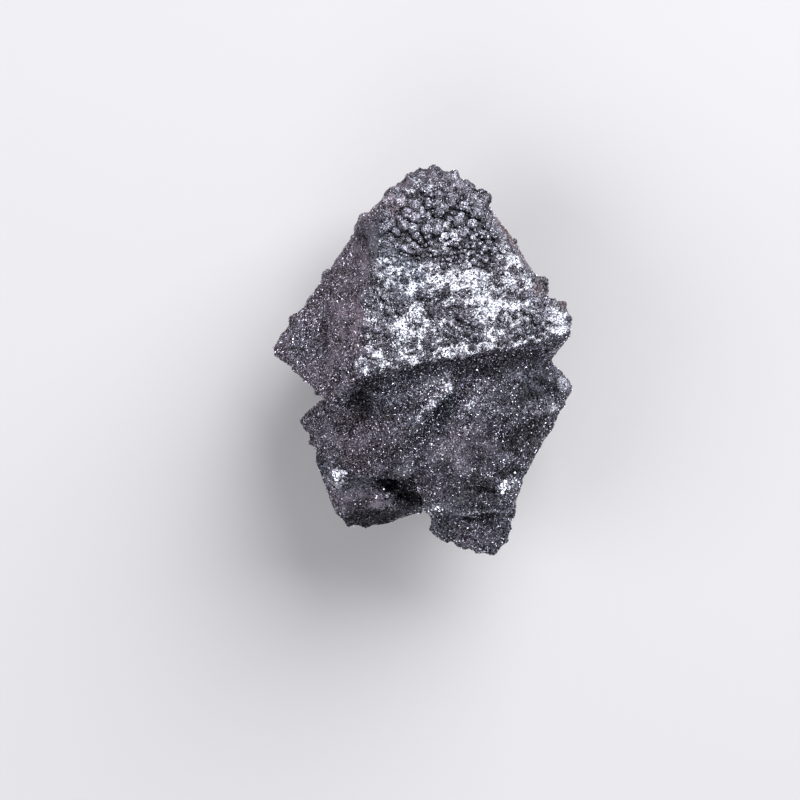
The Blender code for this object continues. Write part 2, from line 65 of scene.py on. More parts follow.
# Places seen from above, in millimetres: across, up, half width, half height, turn in degrees, strength.
# Tone places are painted light over 0 and painted shade under it, and relief is the height that a place is
# raised or sunk by.
PLACES = {
    "silver": (
        (3.17, 7.93, 3.4, 1.5, 0, 0.75),
        (8.3, 10.3, 1.2, 1.1, 0, 1.1),
        (-3.1, 12.4, 1.2, 2.8, 5, -0.8),
        (-0.93, 3.28, 2.0, 2.2, 0, 0.5),
        (6.17, 5.48, 2.0, 2.4, 0, 0.5),
        (9.27, 7.88, 1.8, 1.8, 0, 0.45),
        (9.4, 4.6, 1.6, 1.2, 20, 0.5),
        (3.17, 0.63, 8.6, 0.75, 9, 0.45),
        (12.97, 3.68, 1.5, 1.5, 0, 0.9),
        (-5.9, 0.9, 0.9, 2.6, 10, 0.3),
        (-1.33, 16.88, 0.7, 1.0, 35, 1.0),
        (2.4, 11.6, 3.0, 1.7, 0, 0.45),
        (-2.4, 8.2, 2.0, 1.6, 0, 0.40),
        (1.6, 13.0, 3.4, 2.2, 0, 0.25),
    ),
    "nodules": (
        (1.6, 13.8, 4.5, 2.9, 0, 1.0),
        (2.5, 11.2, 6.6, 2.8, -8, 1.0),
    ),
    "mirror": (
        (-8.1, -11.25, 0.95, 0.9, 0, 2.0),
    ),
    "accent": (
        (8.3, -12.0, 1.4, 0.9, 15, 0.5),
        (-4.03, -12.52, 1.3, 1.0, -20, 0.5),
        (1.37, -14.52, 0.9, 0.5, 0, 0.7),
        (2.2, -2.6, 0.8, 0.5, 20, 0.3),
        (-3.23, -3.92, 0.25, 0.5, 0, 0.6),
    ),
    # Painted highlights on lit edges, ridges, steps and bright knots, which take the silver colour.
    "painted_highlight": (
        (2.0, -2.8, 1.2, 0.7, 35, 0.45),
        (0.5, -4.6, 2.0, 0.34, 50, 0.5),
        (12.2, -4.7, 1.8, 0.34, 20, 0.45),
        (4.77, -3.82, 1.2, 0.30, 60, 0.4),
        (-1.73, -10.72, 1.3, 0.7, 10, 0.5),
        (-0.63, -2.72, 3.0, 1.2, 15, 0.12),
        (-8.08, -11.22, 1.0, 0.9, 0, 1.0),
        (8.3, -12.0, 1.3, 0.85, 15, 0.5),
        (1.6, -14.4, 1.2, 0.7, 0, 0.55),
        (13.57, -2.12, 0.6, 0.9, 0, 0.5),
        (3.5, -13.5, 0.9, 0.4, 20, 0.45),
        (4.6, -14.6, 1.7, 0.25, 8, 0.25),
    ),
    "smooth": (
        (-2.4, 7.4, 1.7, 2.0, 0, 0.7),
        (12.8, 3.9, 1.7, 1.5, 0, 0.9),
        (1.8, 17.9, 3.2, 1.2, -10, 0.7),
        (5.85, 15.8, 0.9, 0.9, 0, 0.7),
        (11.4, 7.2, 0.9, 1.1, 0, 0.9),
        (13.3, 5.2, 0.8, 0.8, 0, 0.8),
        (-6.93, 4.38, 2.0, 3.6, 0, 0.5),
        (-8.63, -0.62, 2.4, 2.0, 0, 0.2),
        (3.97, -8.32, 3.0, 2.4, 0, 0.7),
        (-5.43, -13.42, 2.8, 1.2, 0, 0.9),
        (-2.63, 16.48, 1.8, 2.2, 40, 0.9),
        (-5.23, 10.88, 1.6, 3.2, 20, 0.8),
        (8.77, 11.48, 0.9, 3.8, 31, 0.9),
        (11.37, -1.82, 2.2, 1.4, 0, 0.6),
    ),
    "blue": (
        (-1.9, 7.8, 2.4, 2.4, 0, 0.9),
        (12.97, 3.48, 1.8, 1.6, 0, 0.7),
        (11.47, -1.92, 2.2, 1.6, 0, 0.7),
        (1.97, -4.72, 2.4, 1.0, 52, 0.8),
        (-3.83, 11.48, 2.0, 2.0, 0, 0.5),
        (-10.93, 2.48, 2.2, 3.0, 0, 0.3),
        (-2.03, -2.72, 3.4, 1.4, 15, 0.35),
        (-9.63, -10.52, 0.6, 0.8, 0, 0.7),
        (2.97, -14.62, 3.5, 1.5, 0, 0.4),
    ),
    "purple": (
        (-8.53, 4.38, 3.0, 5.0, 35, 0.4),
        (-6.93, 4.38, 2.0, 3.4, 0, 0.15),
        (4.17, -8.12, 3.0, 2.6, 0, 0.25),
        (-5.53, -9.12, 3.6, 2.0, 0, 0.3),
        (-5.43, -13.52, 2.8, 1.4, 0, 0.1),
        (-3.8, 15.4, 1.0, 2.3, 40, 0.35),
    ),
    "rust": (
        (8.57, 11.78, 0.4, 3.6, 31, 0.2),
        (8.2, 12.6, 0.4, 0.9, 31, 0.4),
        (11.3, 7.1, 0.9, 1.2, 0, 0.30),
        (13.4, 5.3, 0.6, 0.6, 0, 0.4),
    ),
    # Painted light and shade: the ledge's shadow, dark hollows, grooves and pits, and lit faces and edges.
    "tone_and_painted_light": (
        (-5.83, -3.82, 1.3, 2.2, -15, -0.48),
        (-4.23, -2.32, 1.6, 0.6, 20, -0.45),
        (3.67, -0.52, 8.0, 0.9, 8, -0.25),
        (1.7, -5.5, 3.0, 0.8, 49, -0.40),
        (9.6, -3.0, 3.4, 1.3, 10, -0.35),
        (9.4, -6.8, 2.2, 2.0, 0, -0.32),
        (4.4, -12.0, 2.4, 1.2, 0, -0.20),
        (-4.6, 11.0, 1.3, 3.0, 15, -0.15),
        (-10.8, 2.5, 1.8, 3.2, 0, 0.18),
        (-2.13, -8.12, 1.4, 0.6, 20, -0.40),
        (-3.33, -11.02, 1.3, 0.6, 0, -0.30),
        (-1.9, -12.4, 2.2, 0.9, -42, -0.50),
        (-1.33, -13.72, 1.5, 1.1, 0, -0.60),
        (-5.0, -15.3, 3.6, 0.85, 4, -1.0),
        (8.17, -10.52, 1.5, 0.8, 0, -0.50),
        (10.37, -8.12, 2.4, 2.6, 0, -0.35),
        (11.47, -2.12, 2.6, 1.6, 0, -0.40),
        (5.77, -12.42, 1.6, 0.4, -5, -0.50),
        (-9.63, -9.42, 0.9, 0.6, 0, -0.40),
        (-9.23, 3.08, 0.6, 2.6, 0, -0.30),
        (-5.83, 11.58, 1.0, 2.0, 0, -0.20),
        (-6.93, 4.38, 1.7, 3.0, 0, 0.20),
        (-5.83, 0.53, 1.0, 2.2, 10, 0.30),
        (-0.73, -2.82, 3.0, 1.3, 15, 0.40),
        (4.57, -3.82, 2.2, 0.9, 0, 0.20),
        (2.17, -8.32, 1.8, 1.2, 0, 0.30),
        (-5.53, -13.22, 2.4, 1.0, 0, 0.20),
        (11.3, 7.1, 0.9, 1.2, 0, -0.40),
        (13.4, 5.2, 0.8, 0.8, 0, -0.30),
        (5.8, -15.0, 1.8, 0.30, 4, -0.50),
        (4.6, -13.5, 2.2, 0.9, 0, -0.18),
        (4.8, -17.0, 2.8, 1.5, -15, 0.28),
    ),
    "rough": (
        (4.6, -16.6, 3.4, 1.8, -15, 1.0),
        (1.6, -14.2, 1.4, 1.8, 0, 1.0),
        (8.0, -12.4, 1.6, 1.4, 0, 0.8),
        (-4.2, -10.6, 2.4, 1.6, 0, 0.8),
        (-9.2, -6.0, 1.2, 3.0, 15, 0.6),
        (11.6, -2.6, 2.4, 2.0, 0, 0.5),
    ),
    "relief": (
        (-8.1, -11.2, 1.1, 1.1, 0, -0.30),
        (1.2, 17.7, 5.0, 1.5, 0, -0.18),
        (5.9, 15.8, 1.1, 1.1, 0, -0.22),
        (-5.9, 13.4, 1.0, 1.2, 0, 0.45),
        (-5.9, -4.3, 1.2, 1.6, -15, -0.35),
        (1.57, -5.22, 3.0, 0.60, 52, -0.35),
        (0.07, -4.72, 2.2, 0.35, 57, 0.30),
        (12.37, -4.72, 1.8, 0.35, 18, 0.20),
        (12.17, -5.42, 2.0, 0.40, 18, -0.20),
        (-8.08, -11.22, 0.8, 0.7, 0, 0.25),
        (-3.33, -11.02, 1.2, 0.45, 0, -0.15),
        (-1.9, -12.4, 2.0, 0.8, -42, -0.30),
        (-1.33, -13.72, 1.4, 1.0, 0, -0.40),
        (8.17, -10.72, 1.5, 0.5, 0, -0.30),
        (5.77, -12.42, 1.6, 0.35, -5, -0.35),
        (-9.23, 3.08, 0.5, 2.6, 0, -0.25),
        (-6.93, 4.38, 1.8, 3.1, 0, 0.12),
        (4.6, -14.6, 1.8, 0.30, 8, 0.18),
        (5.8, -15.0, 1.8, 0.30, 4, -0.35),
        (3.6, -16.3, 1.7, 0.30, -18, 0.18),
        (4.0, -17.0, 2.0, 0.30, -22, -0.28),
    ),
}

# How near the solid's points are merged, in metres, and how far each pass softens a skin.
MERGE_DISTANCE = 0.000001
SOFTENING = 0.5

# How far out a place is full and where it ends, in its own half widths.
PLACE_FULL, PLACE_ENDS = 0.55, 1.25

# Noise over the skin: the width of its swells, its octaves, and a shift that sets it apart from the others.
SWELLS = {
    "nodules": (1.3 * MM, 3, 0),
    "tint": (3.5 * MM, 3, 0.05),
    "shade": (1.6 * MM, 4, 0.09),
    "patches": (1.2 * MM, 4, 0.02),
    "flecks": (0.45 * MM, 2, 0.07),
    "fine_relief": (1.1 * MM, 4, 0),
    "broad_relief": (2.4 * MM, 2, 0),
    "rough_relief": (1.3 * MM, 3, 0),
    "cap_relief": (1.4 * MM, 2, 0),
}

# How fast the noise's octaves weaken, and how much finer each is than the last.
SWELL_FALL, SWELL_STEP = 0.9, 2.1

# How strongly and how finely the channels between the islands wander, and the seed of their layout.
ISLAND_WARP, ISLAND_WARP_RATE, ISLAND_WARP_OCTAVES = 0.45, 1.7, 2
ISLAND_SEED = 5

# Where each mark begins and where it is full. The first four go by parts of the normal, upper and crown by
# millimetres up, and the rest by noise.
EDGES = {
    "front": (-0.15, 0.25),
    "behind": (0.15, 0.40),
    "left": (0.15, 0.7),
    "bright": (0.72, 0.90),
    "upper": (-0.3, 0.1),
    "crown": (10.8, 12.4),
    "cap": (0.15, 0.95),
    "silver": (-0.05, 0.05),
    "flecks": (0.26, 0.42),
    "island": (0.0, 0.35),
    "island_rim_shade": (0.0, 0.06),
    "island_rim_shade_inside": (0.08, 0.24),
    "lumpy": (-0.14, 0.10),
}

# How much noise frays the edge of the nodules, the silver, its flecks, the painted highlights, and the crown.
NODULES_FRAY = 0.65
SILVER_BASE, SILVER_IN_PLACES, SILVER_FRAY = 0.04, 0.42, 0.34
FLECKS_FRAY = 0.45
HIGHLIGHT_FRAY = 1.2
CROWN_FRAY = 0.6

# How bright the nodules get, and how smooth the shade and the islands make the skin.
CAP_SHINE = 0.8
SMOOTH_FROM_SHADE, SMOOTH_FROM_ISLAND = 0.5, 0.4

# How far facets lie parallel on the silver, less among the mirror crystals, and on the rest of the face.
PARALLEL_ON_SILVER, PARALLEL_LOST_ON_MIRROR, PARALLEL_ON_FACE = 0.8, 0.3, 0.4

# How purple and blue the skin is by itself, and what adds to it or takes from it. The purple added on faces
# that look left is partly their tarnish and partly a painted warm reflection from the left.
PURPLE_BASE, PURPLE_FROM_LEFT_REFLECTION, PURPLE_FROM_TINT = 0.4, 0.4, 0.35
PURPLE_LOST_ON_BRIGHT, PURPLE_LOST_BELOW = 0.2, 0.12
BLUE_FROM_SHADE, BLUE_STARTS_AT = 0.3, 0.2

# How noise and the islands change the tone, how much painted shade lies on the islands' rims, and its limits.
TONE_FROM_SHADE, TONE_LOST_ON_ISLAND, PAINTED_SHADE_ON_RIM = 0.35, 0.38, 0.25
TONE_LEAST, TONE_MOST = 0.25, 1.7

# How far the druse stays off the silver, the smooth places and the nodules, and small nodules off the crown.
DRUSE_OFF_SILVER, DRUSE_OFF_SMOOTH, DRUSE_OFF_CAP = 0.9, 0.75, 0.8
SMALL_NODULES_OFF_CROWN = 0.7

# Heights of the relief's swells, and how far the nodules' ground is sunk, in millimetres.
FINE_HEIGHT, BROAD_HEIGHT, ROUGH_HEIGHT, CAP_HEIGHT = 0.07, 0.12, 0.32, 0.16
CAP_SUNK = 0.2

# The facets in the material: their width, in metres, and how much less they tilt where they lie parallel.
GLITTER_SIZE = 0.00012
PARALLEL_TILT = 0.6

# How crystals vary: most are dark and few bright, and the bright ones are less purple.
GRAIN_CONTRAST = 2.0
PURPLE_ON_BRIGHT_GRAIN = 0.2

# Shades of smooth skin, of silver skin, and of the facets on the ground and on the silver. The silver's run
# over only a part of the facets' own range.
SMOOTH_SHADE, SILVER_SHADE = 0.8, 0.9
GROUND_FACETS = (0.6, 1.4)
SILVER_FACETS = (0.45, 1.05)
SILVER_FACETS_FROM = (0.15, 0.50)
SILVER_ROUGHNESS = 0.8
METALLIC = 0.95

# How far the middles of a grain and a nodule stand over the skin, and how lumpy a nodule is, for templates
# a unit across.
GRAIN_LIFT = 0.07
NODULE_LIFT = 0.22
NODULE_LUMPS = 0.06

# How many points are tried on each square that is a gap wide.
TRIES = 1.4


class ClusterSettings(bpy.types.PropertyGroup):
    """Sizes of the cluster's skin, islands, nodules and crystals, and the colours of its metal"""

    body_voxel: FloatProperty(
        name="Body voxel", description="Cell size of the body's skin", default=0.00021, unit="LENGTH"
    )
    body_smoothing: IntProperty(name="Body smoothing", description="Passes that soften the facets", default=5)
    island_size: FloatProperty(
        name="Island size",
        description="Width of the bright face's raised islands",
        default=0.0012,
        unit="LENGTH",
    )
    island_height: FloatProperty(
        name="Island height", description="How far the islands stand up", default=0.00038, unit="LENGTH"
    )
    cap_detail: FloatProperty(
        name="Cap detail",
        description="Width of the finest form on the cap's skin",
        default=0.000125,
        unit="LENGTH",
    )
    nodule_size: FloatProperty(
        name="Nodule size", description="Mean width of the cap's nodules", default=0.00070, unit="LENGTH"
    )
    nodule_gap: FloatProperty(
        name="Nodule gap", description="Least distance between nodules", default=0.00056, unit="LENGTH"
    )
    grain_size: FloatProperty(
        name="Grain size", description="Mean size of the druse's crystals", default=0.00018, unit="LENGTH"
    )
    grain_gap: FloatProperty(
        name="Grain gap",
        description="Least distance between crystals of the druse",
        default=0.00010,
        unit="LENGTH",
    )
    steel: FloatVectorProperty(
        name="Steel grey", description="Bare metallic hematite", default=(0.28, 0.28, 0.34), subtype="COLOR"
    )
    # The silver colour is also painted on the highlights.
    silver: FloatVectorProperty(
        name="Silver",
        description="Specular faces in the low ground",
        default=(0.34, 0.35, 0.395),
        subtype="COLOR",
    )
    purple: FloatVectorProperty(
        name="Purple brown", description="Tarnished faces", default=(0.305, 0.25, 0.305), subtype="COLOR"
    )
    blue: FloatVectorProperty(
        name="Blue grey", description="Bluish faces", default=(0.255, 0.275, 0.34), subtype="COLOR"
    )
    rust: FloatVectorProperty(
        name="Rust",
        description="Reddish brown strip on the edge",
        default=(0.27, 0.18, 0.185),
        subtype="COLOR",
    )


class StageSettings(bpy.types.PropertyGroup):
    """Colour of the floor, and how bright each light is"""

    floor_color: FloatVectorProperty(
        name="Floor", description="Colour of the floor", default=(0.70, 0.69, 0.71), subtype="COLOR"
    )
    sky_strength: FloatProperty(name="Sky", description="Light from all round", default=0.22)
    key_strength: FloatProperty(name="Key", description="Radiance of the large soft light", default=5.5)
    left_strength: FloatProperty(name="Left", description="Radiance of the light on the left", default=2.4)
    front_strength: FloatProperty(name="Front", description="Radiance of the light in front", default=1.5)


def select_only(obj):
    bpy.ops.object.select_all(action="DESELECT")
    obj.select_set(True)
    bpy.context.view_layer.objects.active = obj


def apply_modifiers(obj):
    select_only(obj)
    for modifier in list(obj.modifiers):
        bpy.ops.object.modifier_apply(modifier=modifier.name)


def add_copy(name, mesh):
    obj = bpy.data.objects.new(name, mesh.copy())
    bpy.context.scene.collection.objects.link(obj)
    return obj


def copy_of_solid(name):
    """A new object with the solid's mesh, its loose triangles merged."""
    obj = add_copy(name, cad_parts[CLUSTER_NODE].data)
    obj.data.materials.clear()
    select_only(obj)
    bpy.ops.object.mode_set(mode="EDIT")
    bpy.ops.mesh.select_all(action="SELECT")
    bpy.ops.mesh.remove_doubles(threshold=MERGE_DISTANCE)
    bpy.ops.object.mode_set(mode="OBJECT")
    return obj


def add_voxel_skin(obj, size, passes):
    skin = obj.modifiers.new("skin", "REMESH")
    skin.mode = "VOXEL"
    skin.voxel_size = size
    soften = obj.modifiers.new("soften", "SMOOTH")
    soften.factor = SOFTENING
    soften.iterations = passes


def read_vectors(mesh, name):
    flat = np.empty(len(mesh.vertices) * 3, np.float32)
    mesh.vertices.foreach_get(name, flat)
    return flat.reshape(-1, 3)


def move_along_normals(mesh, distances):
    moved = read_vectors(mesh, "co") + read_vectors(mesh, "normal") * np.asarray(distances)[:, None]
    mesh.vertices.foreach_set("co", moved.astype(np.float32).ravel())
    mesh.update()


def ramp(values, low, high):
    t = np.clip((values - low) / (high - low), 0, 1)
    return t * t * (3 - 2 * t)


def edge(name, values):
    """0 where the named mark has not begun, 1 where it is full."""
    return ramp(values, *EDGES[name])


def swells(name, points):
    """The named noise, from about -1 to 1, at points."""
    size, octaves, shift = SWELLS[name]
    scale = 1 / size
    places = (Vector(point) * scale for point in points + shift)
    return np.array([noise.fractal(place, SWELL_FALL, SWELL_STEP, octaves) for place in places])


def islands(points, size):
    """0 in the channels between islands of the given size, rising towards their middles."""
    scale = 1 / size
    noise.seed_set(ISLAND_SEED)
    found = np.empty(len(points))
    for i, point in enumerate(points):
        place = Vector(point) * scale
        place += noise.turbulence_vector(place * ISLAND_WARP_RATE, ISLAND_WARP_OCTAVES, False) * ISLAND_WARP
        nearest = noise.voronoi(place)[0]
        found[i] = nearest[1] - nearest[0]
    return found


def in_places(name, x, y):
    """How much of the named places lies over each point."""
    total = np.zeros(len(x))
    for across, up, half_width, half_height, turn, strength in PLACES[name]:
        cos, sin = math.cos(math.radians(turn)), math.sin(math.radians(turn))
        u = ((x - across) * cos + (y - up) * sin) / half_width
        v = ((y - up) * cos - (x - across) * sin) / half_height
        total += strength * ramp(-np.sqrt(u * u + v * v), -PLACE_ENDS, -PLACE_FULL)
    return total


def store(mesh, name, values):
    layer = mesh.attributes.get(name) or mesh.attributes.new(name, "FLOAT", "POINT")
    layer.data.foreach_set("value", np.asarray(values, np.float32))


class Survey:
    """What the marks go by: how a skin faces, which part it is, and its noise, islands and nodules."""

    def __init__(self, mesh):
        points, normals = read_vectors(mesh, "co"), read_vectors(mesh, "normal")
        self.x, self.y = points[:, 0] / MM, points[:, 1] / MM
        self.front = edge("front", normals[:, 2])
        self.behind = edge("behind", -normals[:, 2])
        self.left = edge("left", -normals[:, 0])
        self.bright = edge("bright", normals @ np.array(BRIGHT_FACE_NORMAL))
        self.upper = edge("upper", self.y - np.interp(self.x, *LEDGE))
        self.tint = swells("tint", points)
        self.shade = swells("shade", points)
        self.patches = swells("patches", points)
        self.find_islands(points)
        self.find_silver(points)

    def places(self, name):
        return in_places(name, self.x, self.y)

    def find_islands(self, points):
        """Finds the nodules' ground, how much silver is wanted, and how far the islands rise above it."""
        self.cap = self.front * edge("cap", self.places("nodules") + NODULES_FRAY * swells("nodules", points))
        self.rust = self.front * self.places("rust")
        self.wanted = SILVER_BASE + self.places("silver") * SILVER_IN_PLACES + SILVER_FRAY * self.patches
        self.above = islands(points, bpy.context.scene.cluster_settings.island_size) - self.wanted
        self.on_face = self.bright * self.upper * (1 - np.clip(self.rust, 0, 1))
        self.island = self.on_face * (1 - self.cap) * edge("island", self.above)

    def find_silver(self, points):
        """Finds the silver in the low ground and on nodules, painted highlights on edges, and where it is
        smooth.
        """
        ground = (1 - self.cap) * edge("silver", -self.above)
        flecks = CAP_SHINE * self.cap * edge("flecks", self.wanted + FLECKS_FRAY * swells("flecks", points))
        painted_highlight = np.clip(self.places("painted_highlight") * (1 + HIGHLIGHT_FRAY * self.shade), 0, 1)
        # The silver mark holds the painted highlights as well as the silver ground.
        self.silver = np.maximum(self.on_face * self.front * (ground + flecks), self.front * painted_highlight)
        uneven = SMOOTH_FROM_SHADE * self.shade
        smooth = self.places("smooth") * (1 + self.shade) + uneven + SMOOTH_FROM_ISLAND * self.island
        self.smooth = self.front * np.clip(smooth, 0, 1)


def mark_finish(mesh):
    """Marks a skin's metal, colours and tone with its painted light and shade, and how densely each kind of
    crystal and nodule grows.
    """
    found = Survey(mesh)
    mark_metal(mesh, found)
    mark_colors(mesh, found)
    mark_growth(mesh, found)


def mark_metal(mesh, found):
    """Marks where the skin is silver, painted highlights included, or smooth, and how far its facets lie
    parallel.
    """
    mirror = found.front * np.clip(found.places("mirror"), 0, 1)
    on_silver = PARALLEL_ON_SILVER * found.silver * (1 - PARALLEL_LOST_ON_MIRROR * mirror)
    store(mesh, "silver", found.silver)
    store(mesh, "smooth", found.smooth)
    store(mesh, "parallel", np.maximum(on_silver, PARALLEL_ON_FACE * found.upper * found.on_face))
    store(mesh, "mirror", mirror)


def mark_colors(mesh, found):
    """Marks how purple, blue and rusty the skin is, and its tone with painted light and shade, where 1 is
    neither light nor dark.
    """
    # Faces that look left get more purple: partly their tarnish, partly a painted warm reflection from the
    # left.
    purple = PURPLE_BASE + PURPLE_FROM_LEFT_REFLECTION * found.left - PURPLE_LOST_ON_BRIGHT * found.bright
    purple = purple - PURPLE_LOST_BELOW * (1 - found.upper) + PURPLE_FROM_TINT * found.tint
    blue = BLUE_FROM_SHADE * (found.shade - BLUE_STARTS_AT)
    # Painted shade on the steep rims of the islands.
    island_rim_shade = found.on_face * (1 - found.cap) * edge("island_rim_shade", found.above) * (1 - edge("island_rim_shade_inside", found.above))
    tone_and_painted_light = 1 + TONE_FROM_SHADE * found.shade + found.front * found.places("tone_and_painted_light")
    tone_and_painted_light = tone_and_painted_light - TONE_LOST_ON_ISLAND * found.island - PAINTED_SHADE_ON_RIM * island_rim_shade
    store(mesh, "purple", np.clip(purple + found.places("purple"), 0, 1))
    store(mesh, "blue", np.clip(found.front * found.places("blue") + blue, 0, 1))
    store(mesh, "rust", np.clip(found.rust * (1 + found.shade), 0, 1))
    store(mesh, "tone_and_painted_light", np.clip(tone_and_painted_light, TONE_LEAST, TONE_MOST))


def mark_growth(mesh, found):
    """Marks the islands, and how densely nodules, lumps, bright crystals and druse grow."""
    crown = edge("crown", found.y + CROWN_FRAY * found.patches)
    dusted = (1 - found.behind) * (1 - DRUSE_OFF_SILVER * found.silver)
    dusted = dusted * (1 - DRUSE_OFF_SMOOTH * found.smooth)
    on_cap = found.y > CAP_DRUSE_STARTS
    lumpy = found.on_face * (1 - found.cap) * edge("lumpy", found.above)
    store(mesh, "island", found.island)
    store(mesh, "cap", found.cap * found.upper)
    store(mesh, "crown", found.cap * found.upper * crown)
    store(mesh, "between", found.cap * found.upper * (1 - SMALL_NODULES_OFF_CROWN * crown))
    store(mesh, "lumpy", lumpy * (1 - np.clip(found.places("smooth"), 0, 1)))
    store(mesh, "accent", found.front * np.clip(found.places("accent") * (1 + found.shade), 0, 1))
    store(mesh, "cap_front", dusted * on_cap * (1 - DRUSE_OFF_CAP * found.cap))
    store(mesh, "upper_front", dusted * found.upper * ~on_cap)
    store(mesh, "lower_front", dusted * (1 - found.upper))
    store(mesh, "cap_back", found.behind * on_cap)
    store(mesh, "body_back", found.behind * ~on_cap)


def relieve(mesh, sunk):
    """Raises the skin's islands, edges and steps and sinks its hollows, once it has been marked."""
    look = bpy.context.scene.cluster_settings
    points = read_vectors(mesh, "co")
    x, y = points[:, 0] / MM, points[:, 1] / MM
    front = read_vectors(mesh, "normal")[:, 2] > 0
    heights = FINE_HEIGHT * swells("fine_relief", points) + BROAD_HEIGHT * swells("broad_relief", points)
    heights += front * in_places("relief", x, y)
    heights += ROUGH_HEIGHT * front * in_places("rough", x, y) * swells("rough_relief", points)
    heights += attribute_of(mesh, "cap") * (CAP_HEIGHT * swells("cap_relief", points) - CAP_SUNK)
    move_along_normals(mesh, heights * MM + look.island_height * attribute_of(mesh, "island") - sunk)


def attribute_of(mesh, name):
    values = np.empty(len(mesh.vertices), np.float32)
    mesh.attributes[name].data.foreach_get("value", values)
    return values


def dress(obj, material):
    """Gives a finished piece its material and its place in the frame, with nothing below the floor."""
    points = read_vectors(obj.data, "co")
    points[:, 2] = np.maximum(points[:, 2], 0)
    obj.data.vertices.foreach_set("co", points.ravel())
    obj.data.update()
    obj.data.materials.clear()
    obj.data.materials.append(material)
    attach(obj, "root")
    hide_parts(CLUSTER_NODE)


class NodeTree:
    """Adds nodes to a tree, with their settings and what feeds them."""

    def __init__(self, tree):
        self.tree = tree

    def add(self, kind, inputs=(), **settings):
        node = self.tree.nodes.new(kind)
        for key, value in settings.items():
            setattr(node, key, value)
        for key, value in dict(inputs).items():
            if isinstance(value, bpy.types.NodeSocket):
                self.tree.links.new(value, node.inputs[key])
            else:
                node.inputs[key].default_value = value
        return node

    def mask(self, name):
        return self.add("ShaderNodeAttribute", attribute_name=name).outputs["Fac"]

    def mix(self, factor, first, second):
        """A number between two."""
        return self.add("ShaderNodeMix", {0: factor, 2: first, 3: second}).outputs[0]

    def lean(self, factor, first, second):
        """A direction between two."""
        return self.add("ShaderNodeMix", {0: factor, 4: first, 5: second}, data_type="VECTOR").outputs[1]

    def blend(self, factor, first, second):
        """A colour between two."""
        return self.add("ShaderNodeMix", {0: factor, 6: first, 7: second}, data_type="RGBA").outputs[2]

    def fit(self, value, low, high, begins=0.0, ends=1.0):
        """A number moved from its own range to another."""
        limits = {"From Min": begins, "From Max": ends, "To Min": low, "To Max": high}
        return self.add("ShaderNodeMapRange", {"Value": value, **limits}).outputs[0]

    def times(self, first, second):
        return self.add("ShaderNodeMath", {0: first, 1: second}, operation="MULTIPLY").outputs[0]

    def vector(self, operation, **inputs):
        """Vector arithmetic on first and second, or on first and Scale."""
        sockets = {"first": 0, "second": 1}
        fed = {sockets.get(key, key): value for key, value in inputs.items()}
        return self.add("ShaderNodeVectorMath", fed, operation=operation).outputs[0]


def hematite_material(name, glitter, rough, dark, light):
    """Metallic hematite: steel grey to purple brown, with facets that each tilt their own way.

    Facets tilt by up to glitter and are as rough as rough says. Grains shade from dark to light."""
    material = bpy.data.materials.new(name)
    material.use_nodes = True
    material.node_tree.nodes.clear()
    t = NodeTree(material.node_tree)
    place = t.add("ShaderNodeTexCoord").outputs["Object"]
    facets = t.add("ShaderNodeTexVoronoi", {"Vector": place, "Scale": 1 / GLITTER_SIZE}).outputs["Color"]
    facet_shade, _, facet_roughness = t.add("ShaderNodeSeparateColor", {0: facets}).outputs
    grain = t.add("ShaderNodeMath", {0: t.mask("grain"), 1: GRAIN_CONTRAST}, operation="POWER").outputs[0]
    silver = t.mask("silver")
    shade = t.times(tone_of_metal(t, silver, grain, dark, light), facet_tone(t, silver, facet_shade))
    shader = t.add(
        "ShaderNodeBsdfPrincipled",
        {
            "Base Color": t.vector("SCALE", first=color_of_metal(t, silver, grain), Scale=shade),
            "Roughness": t.times(t.fit(facet_roughness, *rough), t.fit(silver, 1.0, SILVER_ROUGHNESS)),
            "Metallic": METALLIC,
            "Normal": facet_normal(t, facets, glitter),
        },
    )
    t.add("ShaderNodeOutputMaterial", {"Surface": shader.outputs[0]})
    return material


def facet_normal(t, facets, glitter):
    """The normal of each facet, which lies nearer the bright face's own where facets lie parallel."""
    centred = t.vector("SUBTRACT", first=facets, second=(0.5, 0.5, 0.5))
    parallel = t.mask("parallel")
    tilted = t.vector("SCALE", first=centred, Scale=t.fit(parallel, glitter, glitter * PARALLEL_TILT))
    flat = t.add(
        "ShaderNodeVectorTransform",
        {"Vector": BRIGHT_FACE_NORMAL},
        vector_type="NORMAL",
        convert_from="OBJECT",
        convert_to="WORLD",
    ).outputs[0]
    bare = t.add("ShaderNodeNewGeometry").outputs["Normal"]
    return t.vector("NORMALIZE", first=t.vector("ADD", first=t.lean(parallel, bare, flat), second=tilted))


def color_of_metal(t, silver, grain):
    """Steel grey that turns purple, blue, rusty and silver in its places; the silver also paints the
    highlights.
    """
    look = bpy.context.scene.cluster_settings
    purple = t.times(t.mask("purple"), t.fit(grain, 1.0, PURPLE_ON_BRIGHT_GRAIN))
    color = t.blend(purple, (*look.steel, 1), (*look.purple, 1))
    color = t.blend(t.mask("blue"), color, (*look.blue, 1))
    color = t.blend(t.mask("rust"), color, (*look.rust, 1))
    return t.blend(silver, color, (*look.silver, 1))


def tone_of_metal(t, silver, grain, dark, light):
    """How light the skin or the grain is as a whole, with the painted light and shade that the tone holds."""
    even = t.mix(t.mask("smooth"), t.fit(grain, dark, light), SMOOTH_SHADE)
    return t.times(t.mix(silver, even, SILVER_SHADE), t.mask("tone_and_painted_light"))


def facet_tone(t, silver, facet_shade):
    """How light each facet is, on the ground and on the silver."""
    on_ground = t.fit(facet_shade, *GROUND_FACETS)
    return t.mix(silver, on_ground, t.fit(facet_shade, *SILVER_FACETS, *SILVER_FACETS_FROM))


